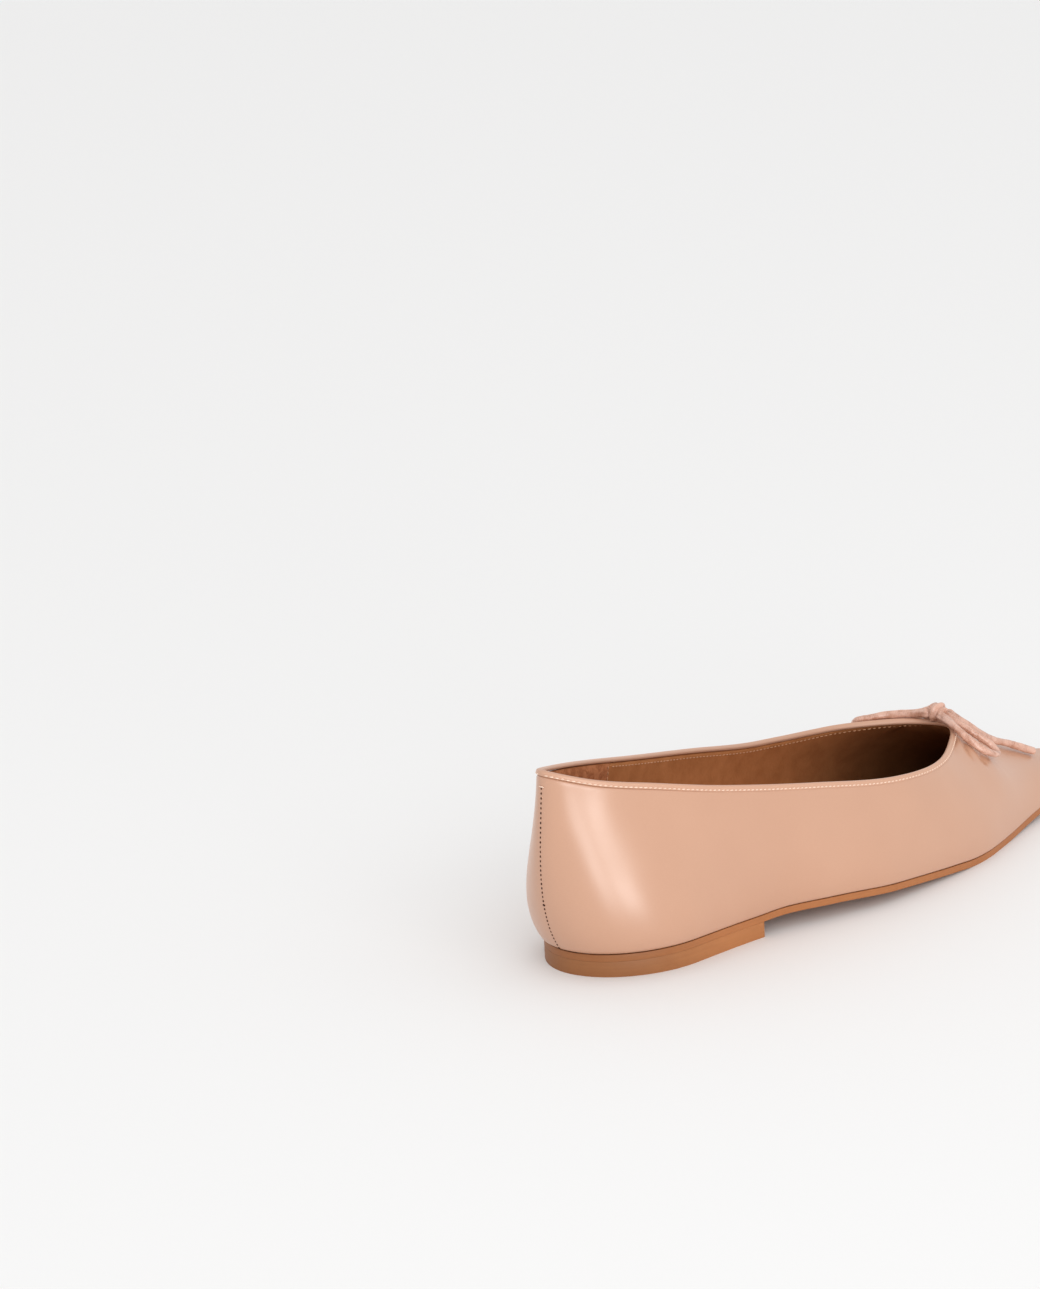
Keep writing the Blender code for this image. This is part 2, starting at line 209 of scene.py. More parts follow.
def soleHalfWidth(x, side, inset=0.0, toeGap=0.0):
    length = last["soleLength"] - 2 * inset - toeGap
    share = np.clip(x / last["soleLength"], 0, 1)
    width = alongTable(soleOutline, "along", sideName(side), share) * last["ballWidth"]
    inside = np.clip(x - inset, 0, length)
    ends = roundEnds(inside, length, last["heelRound"] - inset, last["toeRound"] - inset)
    return np.maximum(width - inset, 0) * ends


def soleBottom(x):
    share = x / last["soleLength"]
    heel = alongTable(soleProfile, "along", "ofHeel", share) * last["heelLift"]
    toe = alongTable(soleProfile, "along", "ofToe", share) * last["toeSpring"]
    return heel + toe


def evenPlaces(x, y, shares):
    run = np.concatenate([[0], np.cumsum(np.hypot(np.diff(x), np.diff(y)))])
    at = np.asarray(shares) * run[-1]
    return np.interp(at, run, x), np.interp(at, run, y)


def closerAtEnds(length, count):
    return length * (1 - np.cos(np.linspace(0, math.pi, count))) / 2


def featherLine(around, side):
    # Where the upper meets the sole, with its outward direction
    x = closerAtEnds(last["soleLength"], 1200)
    y = side * soleHalfWidth(x, side)
    px, py = evenPlaces(x, y, around)
    aheadX, aheadY = evenPlaces(x, y, np.clip(around + 0.004, 0, 1))
    behindX, behindY = evenPlaces(x, y, np.clip(around - 0.004, 0, 1))
    dx, dy = aheadX - behindX, aheadY - behindY
    out = np.stack([-side * dy, side * dx], -1) / np.hypot(dx, dy)[:, None]
    out[around <= 0] = (-1, 0)
    out[around >= 1] = (1, 0)
    foot = np.stack([px, py], -1) + out * last["upperOverhang"]
    height = soleBottom(px) + last["outsoleThickness"] + last["gap"]
    return np.column_stack([foot, height]), np.column_stack([out, np.zeros(len(px))])


def collarLine(share, side):
    # Finished edge of the collar from the back seam to the throat, and its turn
    x = closerAtEnds(last["collarLength"], 1200)
    width = alongTable(collarEdge, "along", sideName(side), x / last["collarLength"])
    ends = roundEnds(x, last["collarLength"], last["collarBackRound"], last["collarThroatRound"])
    y = side * width * last["collarWidth"] * ends
    px, py = evenPlaces(x, y, share)
    aheadX, aheadY = evenPlaces(x, y, np.clip(share + 0.006, 0, 1))
    behindX, behindY = evenPlaces(x, y, np.clip(share - 0.006, 0, 1))
    turn = np.arctan2(-(aheadY - behindY) * side, aheadX - behindX)
    turn[share <= 0] = -math.pi / 2
    turn[share >= 1] = math.pi / 2
    column = sideName(side) + "Height"
    height = alongTable(collarEdge, "along", column, px / last["collarLength"]) * last["backHeight"]
    return np.column_stack([px - last["collarOverhang"], py, height]), turn


def ridgeLine(share):
    # Highest line of the vamp from the throat to the toe tip, and its slope
    throat = last["collarLength"] - last["collarOverhang"]
    reach = last["soleLength"] + last["upperOverhang"] - throat
    height = alongTable(vampRidge, "along", "height", share) * last["throatHeight"]
    ahead = alongTable(vampRidge, "along", "height", share + 0.01) * last["throatHeight"]
    behind = alongTable(vampRidge, "along", "height", share - 0.01) * last["throatHeight"]
    run = (np.clip(share + 0.01, 0, 1) - np.clip(share - 0.01, 0, 1)) * reach
    return np.column_stack([throat + share * reach, 0 * share, height]), (ahead - behind) / run


def ribEnds(around, side, inset):
    # Top of each rib, the direction it arrives in, and the way off the edge
    turnIn = np.array([0.0, -side, 0.0])
    forward = np.array([1.0, 0.0, 0.0])
    up = np.array([0.0, 0.0, 1.0])
    lean = np.radians(alongTable(wallShape, "around", "lean", around))[:, None]
    onCollar = around <= last["throatShare"]
    edge, turn = collarLine(np.clip(around / last["throatShare"], 0, 1), side)
    across = turnIn * np.cos(turn)[:, None] - forward * np.sin(turn)[:, None]
    offEdge = up * np.cos(lean) + across * np.sin(lean)
    swept = np.where(turn > 0, turn * last["throatSweep"] / (math.pi / 2), turn)
    heading = turnIn * np.cos(swept)[:, None] - forward * np.sin(swept)[:, None]
    arrive = up * np.cos(lean) + heading * np.sin(lean)
    # Close to the throat the ribs arrive in the slope of the vamp
    _, throatSlope = ridgeLine(np.array([0.0]))
    level = heading + up * (throatSlope * heading[:, :1])
    taken = np.clip(around / last["throatShare"] - last["levelFrom"], 0, last["levelOver"])
    taken = taken[:, None] / last["levelOver"]
    taken = taken**2 * (3 - 2 * taken)
    arrive = unit(arrive * (1 - taken) + unit(level) * taken)
    end = edge - inset * offEdge
    if (~onCollar).any():
        part = (around[~onCollar] - last["throatShare"]) / (1 - last["throatShare"])
        start = inset * math.sin(lean[onCollar][-1, 0]) / (last["soleLength"] - last["collarLength"])
        along = start + (last["ridgeEndShare"] - start) * (1 - (1 - part) ** 1.6)
        ridge, slope = ridgeLine(along)
        swept = last["throatSweep"] + (math.pi / 2 - last["throatSweep"]) * part
        heading = turnIn * np.cos(swept)[:, None] - forward * np.sin(swept)[:, None]
        onRidge = heading + up * (slope * heading[:, 0])[:, None]
        end[~onCollar] = ridge
        arrive[~onCollar] = unit(onRidge)
    return end, arrive, offEdge


def ribPoints(around, side, inset, shares):
    # Outer face of the upper: a curve for each place around, a point for each share
    foot, out = featherLine(around, side)
    end, arrive, _ = ribEnds(around, side, inset)
    rise = np.radians(alongTable(wallShape, "around", "rise", around))[:, None]
    low = alongTable(wallShape, "around", "low", around)[:, None]
    high = alongTable(wallShape, "around", "high", around)[:, None]
    size = np.linalg.norm(end - foot, axis=1)[:, None]
    up = np.array([0.0, 0.0, 1.0])
    first = foot + low * size * (out * np.cos(rise) + up * np.sin(rise))
    second = end - high * size * arrive
    t = np.asarray(shares)[None, :, None]
    foot, first, second, end = (p[:, None, :] for p in (foot, first, second, end))
    return (1 - t) ** 3 * foot + 3 * (1 - t) ** 2 * t * first + 3 * (1 - t) * t**2 * second + t**3 * end


def placesAround(collarRibs, vampRibs=0):
    even = np.linspace(0, 1, collarRibs + 1)
    collar = last["throatShare"] * (even - 0.5 * np.sin(2 * math.pi * even) / (2 * math.pi))
    if not vampRibs:
        return collar
    vamp = last["throatShare"] + (1 - last["throatShare"]) * np.linspace(0, 1, vampRibs + 1)
    return np.concatenate([collar, vamp[1:]])


def aroundShoe(outer, inner):
    # One ring from the back seam along the outer side to the front and back along the inner
    return np.concatenate([outer, inner[-2::-1]], 0)


# Ways of making and finishing a mesh


def unit(vectors):
    return vectors / np.maximum(np.linalg.norm(vectors, axis=-1, keepdims=True), 1e-12)


def outwards(points):
    # Direction across a grid of points: its columns run with the first axis
    along = np.gradient(points, axis=0)
    across = np.gradient(points, axis=1)
    return unit(np.cross(along, across))


def chooseOnly(piece):
    bpy.ops.object.select_all(action="DESELECT")
    piece.select_set(True)
    bpy.context.view_layer.objects.active = piece


def shapedGrid(name, points, lengths=None):
    # A grid primitive laid through points[column, row], welded where its edges meet
    columns, rows, _ = points.shape
    bpy.ops.object.select_all(action="DESELECT")
    bpy.ops.mesh.primitive_grid_add(x_subdivisions=columns - 1, y_subdivisions=rows - 1, size=1)
    piece = bpy.context.object
    piece.name = name
    mesh = piece.data
    mesh.name = name
    flat = np.empty(len(mesh.vertices) * 3)
    mesh.vertices.foreach_get("co", flat)
    flat = flat.reshape(-1, 3)
    order = np.lexsort((flat[:, 1].round(6), flat[:, 0].round(6)))
    flat[order] = points.reshape(-1, 3) + soleBack
    mesh.vertices.foreach_set("co", flat.ravel())
    if lengths is None:
        lengths = surfaceLengths(points)
    spread = np.empty((len(flat), 2))
    spread[order] = lengths.reshape(-1, 2)
    corner = np.empty(len(mesh.loops), int)
    mesh.loops.foreach_get("vertex_index", corner)
    mesh.uv_layers[0].data.foreach_set("uv", spread[corner].ravel())
    weld(piece)
    return piece


def surfaceLengths(points):
    # Metres along the first column line and along each row line, for the cloth's pattern
    alongRow = np.linalg.norm(np.diff(points, axis=0), axis=2).mean(1)
    u = np.concatenate([[0], np.cumsum(alongRow)])
    upRow = np.linalg.norm(np.diff(points, axis=1), axis=2)
    v = np.concatenate([np.zeros((len(points), 1)), np.cumsum(upRow, 1)], 1)
    return np.stack([np.broadcast_to(u[:, None], v.shape), v], -1)


def editAll(piece):
    chooseOnly(piece)
    bpy.ops.object.mode_set(mode="EDIT")
    bpy.ops.mesh.select_all(action="SELECT")


def weld(piece, distance=0.01 * mm):
    editAll(piece)
    bpy.ops.mesh.remove_doubles(threshold=distance)
    bpy.ops.mesh.dissolve_degenerate(threshold=distance)
    bpy.ops.object.mode_set(mode="OBJECT")


def closeOutwards(piece):
    # For closed shells only
    editAll(piece)
    bpy.ops.mesh.normals_make_consistent(inside=False)
    bpy.ops.object.mode_set(mode="OBJECT")


def applyModifier(piece, kind, **settings):
    chooseOnly(piece)
    modifier = piece.modifiers.new(kind.title(), kind)
    for name, value in settings.items():
        setattr(modifier, name, value)
    bpy.ops.object.modifier_apply(modifier=modifier.name)


def thicken(piece, thickness, offset, innerMaterial=0, rimMaterial=0):
    applyModifier(
        piece,
        "SOLIDIFY",
        thickness=thickness,
        offset=offset,
        use_even_offset=True,
        use_quality_normals=True,
        material_offset=innerMaterial,
        material_offset_rim=rimMaterial,
    )


def roundEdges(piece, width, segments=3, angle=40):
    applyModifier(
        piece,
        "BEVEL",
        width=width,
        segments=segments,
        limit_method="ANGLE",
        angle_limit=math.radians(angle),
        harden_normals=False,
    )


def dress(piece, slot, *materials, replaces=(), smoothAngle=45):
    # Slots are filled in place, because clearing them sends every face back to the first
    for place, material in enumerate(materials):
        if place < len(piece.data.materials):
            piece.data.materials[place] = material
        else:
            piece.data.materials.append(material)
    chooseOnly(piece)
    bpy.ops.object.shade_smooth_by_angle(angle=math.radians(smoothAngle))
    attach(piece, "root")
    if replaces:
        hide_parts(*replaces)
    return piece


def scatter(name, unitPiece, centres, along, up, sizes):
    # Copies of a small piece as one mesh: x runs with along, z with up
    mesh = unitPiece.data
    shape = np.empty(len(mesh.vertices) * 3)
    mesh.vertices.foreach_get("co", shape)
    shape = shape.reshape(-1, 3)
    faces = [tuple(face.vertices) for face in mesh.polygons]
    along = unit(along)
    side = unit(np.cross(up, along))
    up = np.cross(along, side)
    places = (
        centres[:, None, :]
        + shape[None, :, 0:1] * (along * sizes[:, 0:1])[:, None, :]
        + shape[None, :, 1:2] * (side * sizes[:, 1:2])[:, None, :]
        + shape[None, :, 2:3] * (up * sizes[:, 2:3])[:, None, :]
        + soleBack
    )
    count = len(shape)
    allFaces = [tuple(corner + k * count for corner in face) for k in range(len(centres)) for face in faces]
    joined = bpy.data.meshes.new(name)
    joined.from_pydata(places.reshape(-1, 3).tolist(), [], allFaces)
    piece = bpy.data.objects.new(name, joined)
    bpy.context.collection.objects.link(piece)
    bpy.data.objects.remove(unitPiece, do_unlink=True)
    return piece


def unitStitch():
    # A short thread: a rounded bar of size one, bent down at both ends
    bpy.ops.object.select_all(action="DESELECT")
    bpy.ops.mesh.primitive_uv_sphere_add(segments=8, ring_count=7, radius=0.5, rotation=(0, math.pi / 2, 0))
    bpy.ops.object.transform_apply(location=True, rotation=True, scale=True)
    stitch = bpy.context.object
    for vertex in stitch.data.vertices:
        vertex.co.z -= 0.9 * vertex.co.x**2
    return stitch


# Effects that several materials share


def addNode(tree, kind, inputs=None, **settings):
    node = tree.nodes.new(kind)
    for name, value in settings.items():
        setattr(node, name, value)
    for name, value in (inputs or {}).items():
        socket = node.inputs[name]
        if isinstance(value, bpy.types.NodeSocket):
            tree.links.new(value, socket)
        else:
            socket.default_value = value
    return node


def stretched(tree, vector, scale):
    return addNode(tree, "ShaderNodeMapping", {"Vector": vector, "Scale": scale}).outputs[0]


def noise(tree, vector, scale, detail, roughness=0.5, distortion=0.0):
    looks = {"Scale": scale, "Detail": detail, "Roughness": roughness, "Distortion": distortion}
    return addNode(tree, "ShaderNodeTexNoise", {"Vector": vector, **looks}).outputs["Fac"]


def average(tree, first, second):
    total = addNode(tree, "ShaderNodeMath", {0: first, 1: second}, operation="ADD")
    return addNode(tree, "ShaderNodeMath", {0: total.outputs[0], 1: 0.5}, operation="MULTIPLY").outputs[0]


def newGroup(name, inputs, outputs):
    group = bpy.data.node_groups.new(name, "ShaderNodeTree")
    for label, kind, value in inputs:
        socket = group.interface.new_socket(name=label, in_out="INPUT", socket_type=kind)
        if value is not None:
            socket.default_value = value
    for label, kind in outputs:
        group.interface.new_socket(name=label, in_out="OUTPUT", socket_type=kind)
    return group, addNode(group, "NodeGroupInput"), addNode(group, "NodeGroupOutput")


def makeClothWeave():
    # Satin's fine cross threads and slubs, in metres along the piece's own UV map
    group, given, result = newGroup(
        "clothWeave",
        [("Vector", "NodeSocketVector", None), ("Threads", "NodeSocketFloat", 2600.0)],
        [("Height", "NodeSocketFloat"), ("Shade", "NodeSocketFloat")],
    )
    place = given.outputs["Vector"]
    scaled = addNode(group, "ShaderNodeVectorMath", {0: place}, operation="SCALE")
    group.links.new(given.outputs["Threads"], scaled.inputs["Scale"])
    weft = noise(group, stretched(group, scaled.outputs[0], (0.05, 1.0, 1.0)), 1.0, 2.0)
    warp = noise(group, stretched(group, scaled.outputs[0], (0.8, 0.03, 1.0)), 1.0, 1.0, 0.4)
    slub = noise(group, stretched(group, place, (900.0, 3600.0, 1.0)), 1.0, 2.0)
    group.links.new(average(group, weft, warp), result.inputs["Height"])
    group.links.new(slub, result.inputs["Shade"])
    return group


def makeHideGrain():
    # Pores and soft mottling of leather, in metres
    group, given, result = newGroup(
        "hideGrain",
        [("Vector", "NodeSocketVector", None), ("Pores", "NodeSocketFloat", 1200.0)],
        [("Height", "NodeSocketFloat"), ("Mottle", "NodeSocketFloat")],
    )
    pores = addNode(
        group,
        "ShaderNodeTexVoronoi",
        {"Vector": given.outputs["Vector"], "Scale": given.outputs["Pores"]},
        feature="SMOOTH_F1",
    )
    group.links.new(pores.outputs["Distance"], result.inputs["Height"])
    mottle = noise(group, given.outputs["Vector"], 160.0, 5.0, 0.62)
    group.links.new(mottle, result.inputs["Mottle"])
    return group


def startMaterial(name, colour, roughness):
    material = bpy.data.materials.new(name)
    material.use_nodes = True
    shader = material.node_tree.nodes["Principled BSDF"]
    shader.inputs["Base Color"].default_value = (*colour, 1)
    shader.inputs["Roughness"].default_value = roughness
    material.diffuse_color = (*colour, 1)
    return material, material.node_tree, shader


def tint(tree, shader, mask, colours, places=(0.3, 0.7)):
    ramp = addNode(tree, "ShaderNodeValToRGB", {"Fac": mask})
    for stop, place, colour in zip(ramp.color_ramp.elements, places, colours):
        stop.position = place
        stop.color = (*colour, 1)
    tree.links.new(ramp.outputs["Color"], shader.inputs["Base Color"])
    return ramp


def bumpFrom(tree, shader, height, strength, distance, under=None):
    bump = addNode(tree, "ShaderNodeBump", {"Height": height, "Strength": strength, "Distance": distance})
    if under is not None:
        tree.links.new(under.outputs["Normal"], bump.inputs["Normal"])
    tree.links.new(bump.outputs["Normal"], shader.inputs["Normal"])
    return bump


def spreadRoughness(tree, shader, mask, low, high):
    span = addNode(tree, "ShaderNodeMapRange", {"Value": mask, "To Min": low, "To Max": high})
    tree.links.new(span.outputs["Result"], shader.inputs["Roughness"])


satin = {
    "threads": 5200.0,
    "pale": (0.55, 0.298, 0.189),
    "deep": (0.515, 0.272, 0.170),
    "roughness": (0.29, 0.36),
    "stretch": 0.65,
}


def makeSatin(name, weave, pale, deep, roughness, folds=0.35, foldScale=55.0, patches=(0.2, 0.75)):
    material, tree, shader = startMaterial(name, pale, roughness[0])
    place = addNode(tree, "ShaderNodeUVMap", uv_map="UVMap")
    cloth = addNode(tree, "ShaderNodeGroup", node_tree=weave)
    cloth.inputs["Threads"].default_value = satin["threads"]
    tree.links.new(place.outputs["UV"], cloth.inputs["Vector"])
    spot = addNode(tree, "ShaderNodeTexCoord")
    foldHeightAndShade = noise(tree, spot.outputs["Object"], foldScale, 1.5)
    # The colour follows the slubs and the soft folds: deep in the folds' hollows is painted shade and pale on
    # their crests is painted highlight
    tint(tree, shader, average(tree, cloth.outputs["Shade"], foldHeightAndShade), (deep, pale), patches)
    spreadRoughness(tree, shader, cloth.outputs["Shade"], *roughness)
    soft = bumpFrom(tree, shader, foldHeightAndShade, folds, 0.5 * mm)
    bumpFrom(tree, shader, cloth.outputs["Height"], 0.16, 0.06 * mm, soft)
    shader.inputs["Sheen Weight"].default_value = 0.06
    shader.inputs["Sheen Roughness"].default_value = 0.35
    shader.inputs["Sheen Tint"].default_value = (1.0, 0.86, 0.78, 1)
    shader.inputs["Specular IOR Level"].default_value = 1.0
    # Satin's floating threads draw its shine out up and down the wall
    shader.inputs["Anisotropic"].default_value = satin["stretch"]
    shader.inputs["Anisotropic Rotation"].default_value = 0.25
    return material


def shadeAlong(tree, shader, spot, start, end, share):
    # The leather's colour is scaled along the shoe, from start to end in metres: in the lining and the sock
    # it is painted shade, deepening towards the toe inside the shoe, while the sole and heel leathers only
    # fall in tone towards the back of the heel
    parts = addNode(tree, "ShaderNodeSeparateXYZ", {"Vector": spot.outputs["Object"]})
    span = addNode(
        tree,
        "ShaderNodeMapRange",
        {"Value": parts.outputs["X"], "From Min": start, "From Max": end, "To Min": 1.0, "To Max": share},
        interpolation_type="SMOOTHSTEP",
    )
    colour = shader.inputs["Base Color"].links[0].from_socket
    deeper = addNode(tree, "ShaderNodeVectorMath", {0: colour}, operation="SCALE")
    tree.links.new(span.outputs["Result"], deeper.inputs["Scale"])
    tree.links.new(deeper.outputs[0], shader.inputs["Base Color"])


def makeLeather(
    name, grain, dark, light, roughness,
    pores=1200.0, relief=0.3, fibres=None, coat=0.0, gloss=0.5, along=None,
):
    material, tree, shader = startMaterial(name, light, roughness[0])
    spot = addNode(tree, "ShaderNodeTexCoord")
    hide = addNode(tree, "ShaderNodeGroup", node_tree=grain)
    hide.inputs["Pores"].default_value = pores
    tree.links.new(spot.outputs["Object"], hide.inputs["Vector"])
    mask = hide.outputs["Mottle"]
    under = None
    if fibres:
        # Layers pressed flat: streaks that run level round the edge
        layers = noise(tree, stretched(tree, spot.outputs["Object"], (60.0, 60.0, fibres)), 1.0, 4.0)
        mask = average(tree, mask, layers)
        under = bumpFrom(tree, shader, layers, 0.12, 0.1 * mm)
    tint(tree, shader, mask, (dark, light), (0.32, 0.68))
    if along:
        shadeAlong(tree, shader, spot, *along)
    spreadRoughness(tree, shader, mask, *roughness)
    bumpFrom(tree, shader, hide.outputs["Height"], relief, 0.1 * mm, under)
    shader.inputs["Specular IOR Level"].default_value = gloss
    shader.inputs["Coat Weight"].default_value = coat
    shader.inputs["Coat Roughness"].default_value = 0.35
    return material


def makeSuede(name, dark, light):
    material, tree, shader = startMaterial(name, light, 0.95)
    spot = addNode(tree, "ShaderNodeTexCoord")
    nap = noise(tree, spot.outputs["Object"], 900.0, 4.0, 0.7)
    patches = noise(tree, spot.outputs["Object"], 480.0, 3.0, distortion=0.8)
    tint(tree, shader, patches, (dark, light), (0.38, 0.62))
    bumpFrom(tree, shader, nap, 0.6, 0.2 * mm)
    shader.inputs["Specular IOR Level"].default_value = 0.1
    shader.inputs["Sheen Weight"].default_value = 0.12
    shader.inputs["Sheen Tint"].default_value = (1.0, 0.6, 0.4, 1)
    return material


def makeThread(name, colour, roughness=0.5):
    material, tree, shader = startMaterial(name, colour, roughness)
    spot = addNode(tree, "ShaderNodeTexCoord")
    twist = addNode(
        tree,
        "ShaderNodeTexWave",
        {"Vector": spot.outputs["Object"], "Scale": 900.0, "Distortion": 1.5},
        bands_direction="DIAGONAL",
    )
    # The thread is deeper in colour in the twist's grooves, where the bump is low: painted shade
    twistGrooveShade = tuple(0.8 * part for part in colour)
    tint(tree, shader, twist.outputs["Fac"], (twistGrooveShade, colour), (0.1, 0.8))
    bumpFrom(tree, shader, twist.outputs["Fac"], 0.3, 0.05 * mm)
    shader.inputs["Specular IOR Level"].default_value = 0.25
    return material


def makeFloorMaterial():
    material, tree, shader = startMaterial("paleFloor", studio["floorColour"], 0.9)
    shader.inputs["Specular IOR Level"].default_value = 0.1
    return material


def makeFloor():
    bpy.ops.object.select_all(action="DESELECT")
    bpy.ops.mesh.primitive_grid_add(x_subdivisions=4, y_subdivisions=4, size=studio["floorWidth"])
    floor = bpy.context.object
    floor.name = "studioFloor"
    floor.data.materials.append(makeFloorMaterial())


# The bow: satin tubes that lie on the vamp

bow = {
    "diameter": 2.7 * mm,
    "stepsBetween": 14,
    "ribs": 36,
    "pleatReach": 3.4 * mm,
    "tipShare": 0.58,
    "tipReach": 6.0 * mm,
    # how much wider each tube is where its pleats leave the knot
    "fullness": {"loopNear": 0.24, "loopFar": 0.56, "endNear": 0.16, "endFar": 0.16},
    "pleatDepth": 0.12,
    "slackness": 0.08,
    "tipPinch": 0.16,
    # share of the radius, place round the tube and half width of its sewn seam
    "seam": (0.15, 4.2, 0.22),
    # millimetres from the back edge of the sole
    "routes": {
        "loopNear": (
            (174.7, -1.2, 38.9), (172.4, -7.0, 38.4), (171.2, -12.0, 36.8), (172.0, -16.2, 34.0),
            (174.8, -19.2, 30.9), (178.8, -19.8, 28.7), (182.4, -18.2, 27.9), (182.6, -15.6, 29.9),
            (180.2, -13.4, 32.5), (178.0, -10.4, 35.0), (176.8, -6.4, 37.3), (177.2, -2.2, 38.6),
        ),
        "loopFar": (
            (175.0, 5.0, 38.9), (173.4, 11.4, 37.9), (169.4, 17.2, 37.3), (165.2, 21.2, 36.6),
            (162.6, 25.0, 35.6), (164.2, 27.6, 33.2), (168.4, 25.0, 32.6), (173.2, 19.4, 34.4),
            (176.8, 11.8, 36.4), (177.8, 5.8, 38.7),
        ),
        "endNear": (
            (179.6, -0.2, 38.3), (183.6, -4.0, 34.7), (189.6, -5.2, 29.8), (196.6, -4.8, 26.0),
            (203.0, -5.4, 23.4), (208.6, -6.2, 20.8), (213.6, -7.0, 18.5),
        ),
        "endFar": (
            (179.9, 3.7, 38.0), (183.6, 6.8, 34.4), (190.0, 9.6, 29.5), (198.0, 11.4, 24.2),
            (206.0, 12.2, 20.4),
        ),
    },
    # node, far end and real length of each cord
    "cords": {
        "loopNear": ("bow_loop_near", "object", 52 * mm),
        "loopFar": ("bow_loop_far", "object", 56 * mm),
        "endNear": ("bow_end_near", "bare", 41 * mm),
        "endFar": ("bow_end_far", "bare", 33 * mm),
    },
}


def smoothRoute(route, steps):
    # A smooth line through the route's own points, in metres from the sole's back edge
    points = np.array(route, float) * mm
    padded = np.concatenate([2 * points[:1] - points[1:2], points, 2 * points[-1:] - points[-2:-1]])
    line = []
    for a, b, c, d in zip(padded, padded[1:], padded[2:], padded[3:]):
        for t in np.arange(steps) / steps:
            bend = (2 * a - 5 * b + 4 * c - d) * t**2 / 2
            line.append(b + (c - a) * t / 2 + bend + (3 * b - a - 3 * c + d) * t**3 / 2)
    line.append(points[-1])
    return np.array(line)


def carriedFrames(line):
    # Two directions across the line that don't twist along it
    ahead = unit(np.gradient(line, axis=0))
    across = np.empty_like(line)
    start = np.cross(ahead[0], (0.0, 0.0, 1.0))
    across[0] = start / np.linalg.norm(start)
    for k in range(1, len(line)):
        moved = across[k - 1] - ahead[k] * (across[k - 1] @ ahead[k])
        across[k] = moved / np.linalg.norm(moved)
    return ahead, across, np.cross(ahead, across)


def capRings(middle, ring, outward, steps):
    return [middle + (ring - middle) * part + outward * deep for part, deep in steps]


def satinTube(name, route, cutEnd, fullness):
    line = smoothRoute(route, bow["stepsBetween"])
    ahead, across, up = carriedFrames(line)
    radius = bow["diameter"] / 2
    run = np.concatenate([[0], np.cumsum(np.linalg.norm(np.diff(line, axis=0), axis=1))])
    around = np.linspace(0, 2 * math.pi, bow["ribs"] + 1)
    # Soft puckers of the sewn tube: lobes that wander along it, and short cross creases
    turn = around[None, :]
    gone = run[:, None]
    pucker = 0.07 * np.sin(2 * turn + 330 * gone)
    pucker = pucker + 0.025 * np.sin(3 * turn - 900 * gone + 1.0)
    crease = 0.02 * np.sin(2300 * gone + 2 * np.sin(turn)) * np.sin(turn + 300 * gone)
    seamDepth, seamPlace, seamHalf = bow["seam"]
    seam = -seamDepth * np.exp(-(((turn - seamPlace) / seamHalf) ** 2))
    # Pleats drawn into the knot, which fade along the tube
    toKnot = np.exp(-gone / bow["pleatReach"])
    if not cutEnd:
        toKnot = toKnot + np.exp(-(run[-1] - gone) / bow["pleatReach"])
    pleats = toKnot * (fullness + bow["pleatDepth"] * np.cos(7 * turn))
    # Away from the knot the tube lies slacker, and a loop is pinched at its tip
    slack = bow["slackness"] * (1 - np.clip(toKnot, 0, 1))
    if not cutEnd:
        fromTip = (gone - bow["tipShare"] * run[-1]) / bow["tipReach"]
        slack = slack + bow["tipPinch"] * np.exp(-(fromTip**2))
    width = radius * (1 + pucker + crease + seam + pleats - slack)
    width[:, -1] = width[:, 0]
    rings = (
        line[:, None, :]
        + across[:, None, :] * (width * np.cos(around))[..., None]
        + up[:, None, :] * (width * np.sin(around))[..., None]
    )
    # The ends at the knot run on into it, and a cut end is a rolled lip round a shallow hollow
    inKnot = ((0.0, 1.5 * mm), (0.6, 1.4 * mm), (0.85, 0.9 * mm))
    lip = ((0.92, 0.2 * mm), (0.72, 0.12 * mm), (0.5, -0.5 * mm), (0.0, -0.7 * mm))
    start = capRings(line[0], rings[0], -ahead[0], inKnot)
    finish = capRings(line[-1], rings[-1], ahead[-1], lip if cutEnd else inKnot[::-1])
    points = np.concatenate([np.array(start), rings, np.array(finish)], 0)
    along = np.concatenate([[0.0] * len(start), run, [run[-1]] * len(finish)])
    girth = around * radius
    lengths = np.stack(np.broadcast_arrays(girth[None, :], along[:, None]), -1)
    tube = shapedGrid(name, points, lengths)
    closeOutwards(tube)
    return tube, line + soleBack


knot = {
    "place": (176.4, 2.0, 39.3),
    "size": (6.4, 7.0, 6.0),
    "foldDepth": 0.11,
    # place across the knot, depth and half width of each waist
    "pinches": ((-0.55, 0.26, 0.16), (0.62, 0.18, 0.14)),
    "boxiness": 2.6,
}


